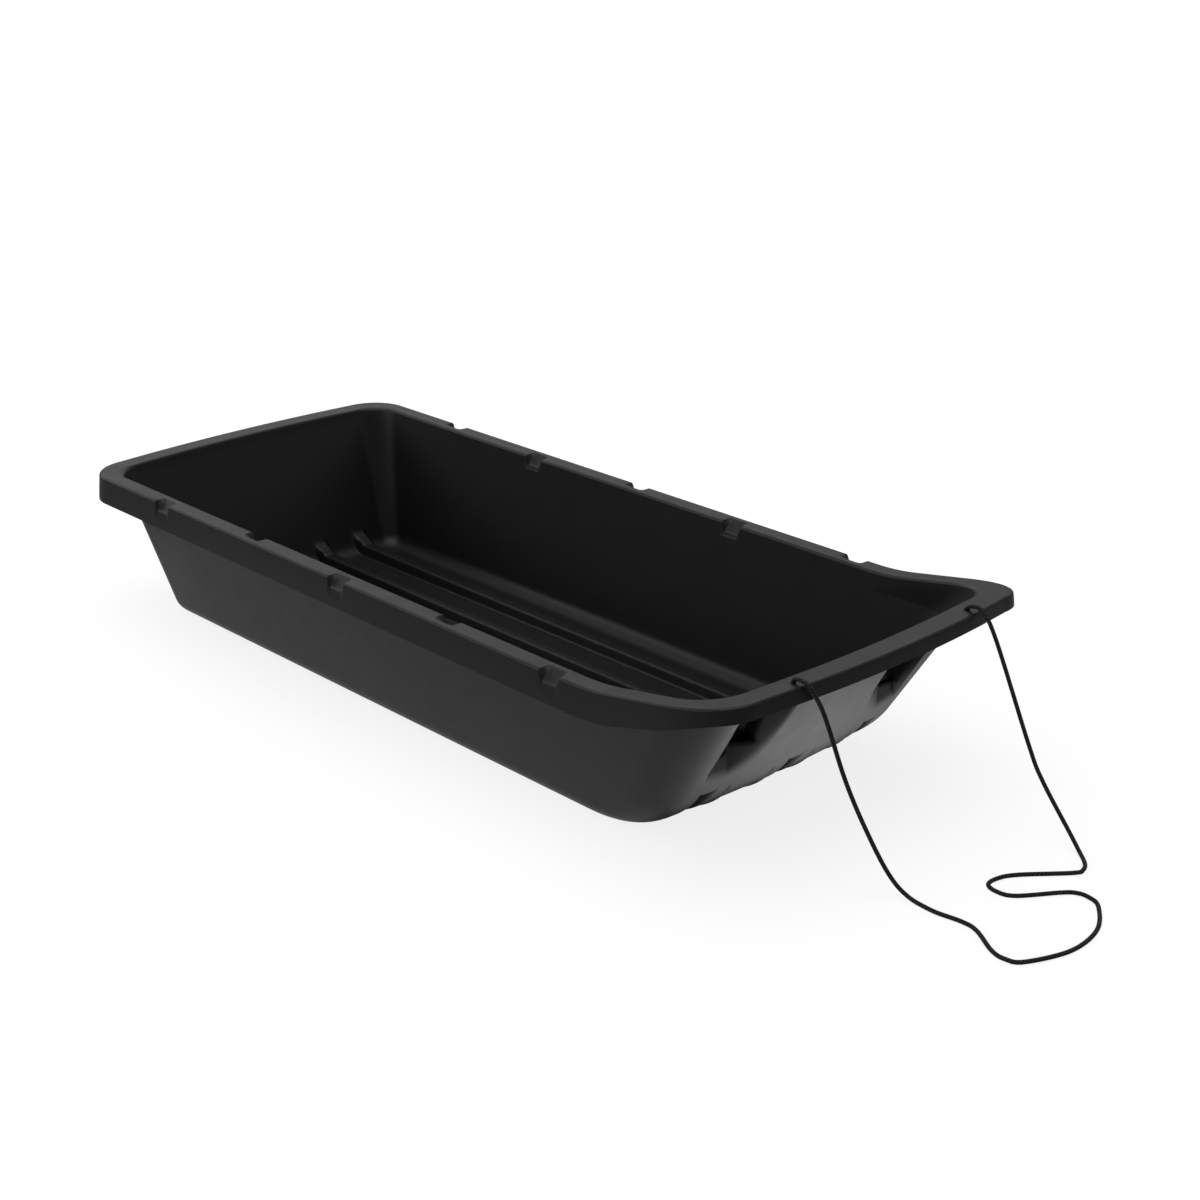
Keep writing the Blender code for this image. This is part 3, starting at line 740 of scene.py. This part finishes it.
# the floor, which is white to the eye and keeps the shadow, and the pale sky round it
stageSet = {
    "floorSize": 60.0, "floorColour": (0.32, 0.32, 0.32, 1), "floorWhite": 0.83,
    # the floor's painted glow in reflections, light from a floor that is no lamp: a pool near the
    # sled, brighter at the bow, with painted shadow dimming it beneath the sled
    "pool": 0.44, "poolFade": (0.18, 0.35), "poolMiddle": (-0.10, 0.0), "poolHalf": (0.68, 0.24),
    "bowPool": 1.03, "bowMiddle": (0.64, 0.08), "bowHalf": (0.070, 0.26), "farGlow": 0.06,
    "paintedShadowLevel": 0.15, "paintedShadowEdge": 0.04,
    # the sky's strength by height, from the ground to overhead
    "skyLevels": ((0.0, 0.0), (0.17, 0.16), (0.26, 0.88), (0.37, 1.18), (0.46, 0.95),
                  (0.57, 0.32), (0.77, 0.22), (0.90, 1.10), (1.0, 1.40)),
    "skyFull": 2.0,                         # more than any of the strengths
    "skyLean": 0.45,                        # brighter toward the stern and the sled's right
    "dimSide": (0.6, 1.15), "dimLevel": 0.25,   # dimmer toward the bow's right
}


# painted light: the floor glows only for glossy rays, in a pool round the sled and a brighter patch
# at the bow
def paintedFloorGlow(s, tree, parts):
    work = mathMaker(tree)
    reach, apart = [], []
    for i in range(2):
        away = work("ABSOLUTE", work("SUBTRACT", parts.outputs[i], s["poolMiddle"][i]))
        reach.append(work("SUBTRACT", away, s["poolHalf"][i]))
        away = work("SUBTRACT", parts.outputs[i], s["bowMiddle"][i])
        away = work("DIVIDE", away, s["bowHalf"][i])
        apart.append(work("MULTIPLY", away, away))
    apart[0] = work("MULTIPLY", apart[0], apart[0])
    fades = [work("DIVIDE", work("MAXIMUM", far, 0.0), fade)
             for far, fade in zip(reach, s["poolFade"])]
    away = work("SQRT", work("ADD", *[work("MULTIPLY", far, far) for far in fades]))
    pool = work("MULTIPLY", work("EXPONENT", work("MULTIPLY", away, -1.0)), s["pool"])
    bow = work("EXPONENT", work("MULTIPLY", work("ADD", *apart), -1.0))
    bow = work("MULTIPLY_ADD", bow, s["bowPool"], s["farGlow"])
    # painted shadow: the glow sinks to a low level where the sled stands over the floor
    under = easeNode(tree, work("MAXIMUM", *reach), (-s["paintedShadowEdge"], 0.0),
                     (s["paintedShadowLevel"], 1.0))
    return work("MULTIPLY", under, work("ADD", pool, bow))


def makeFloor(s):
    mesh = bmesh.new()
    bmesh.ops.create_grid(mesh, x_segments=2, y_segments=2, size=s["floorSize"] / 2)
    mat, tree, shader = newMaterial("paleFloor")
    work = mathMaker(tree)
    spot = addNode(tree, "ShaderNodeTexCoord")
    parts = addNode(tree, "ShaderNodeSeparateXYZ", {0: spot.outputs["Object"]})
    rays = addNode(tree, "ShaderNodeLightPath").outputs
    seen = work("MAXIMUM", rays["Is Camera Ray"], rays["Is Transmission Ray"])
    glow = work("ADD", work("MULTIPLY", seen, s["floorWhite"]),
                work("MULTIPLY", rays["Is Glossy Ray"], paintedFloorGlow(s, tree, parts)))
    fillSockets(tree, shader, {
        "Base Color": s["floorColour"], "Roughness": 1.0, "Specular IOR Level": 0.0,
        "Emission Color": (1, 1, 1, 1), "Emission Strength": glow})
    newPiece("studioFloor", mesh, mat, smooth=False)


def makeSky(s):
    world = bpy.data.worlds.new("paleRoom")
    world.use_nodes = True
    bpy.context.scene.world = world
    tree = world.node_tree
    work = mathMaker(tree)
    spot = addNode(tree, "ShaderNodeTexCoord")
    parts = addNode(tree, "ShaderNodeSeparateXYZ", {0: spot.outputs["Generated"]})
    x, y, z = parts.outputs
    levels = addNode(tree, "ShaderNodeFloatCurve", {"Value": z})
    points = levels.mapping.curves[0].points
    for height, strength in s["skyLevels"][1:-1]:
        points.new(height, strength / s["skyFull"])
    for point, (height, strength) in zip(points, s["skyLevels"]):
        point.location = (height, strength / s["skyFull"])
    levels.mapping.update()
    lean = work("ADD", work("MULTIPLY", work("ADD", x, y), -s["skyLean"]), 1.0)
    sky = work("MULTIPLY", work("MULTIPLY", levels.outputs[0], s["skyFull"]),
               work("MAXIMUM", lean, 0.0))
    dim = easeNode(tree, work("SUBTRACT", x, y), s["dimSide"], (1.0, s["dimLevel"]))
    # the eye sees plain white
    eye = addNode(tree, "ShaderNodeLightPath").outputs["Is Camera Ray"]
    mix = addNode(tree, "ShaderNodeMix", {0: eye, 2: work("MULTIPLY", sky, dim), 3: 1.0},
                  data_type="FLOAT")
    fillSockets(tree, tree.nodes["Background"], {
        "Color": (1, 1, 1, 1), "Strength": mix.outputs[0]})


makeFloor(stageSet)
makeSky(stageSet)
bpy.context.scene.view_settings.view_transform = "Standard"
print("stage and light made")
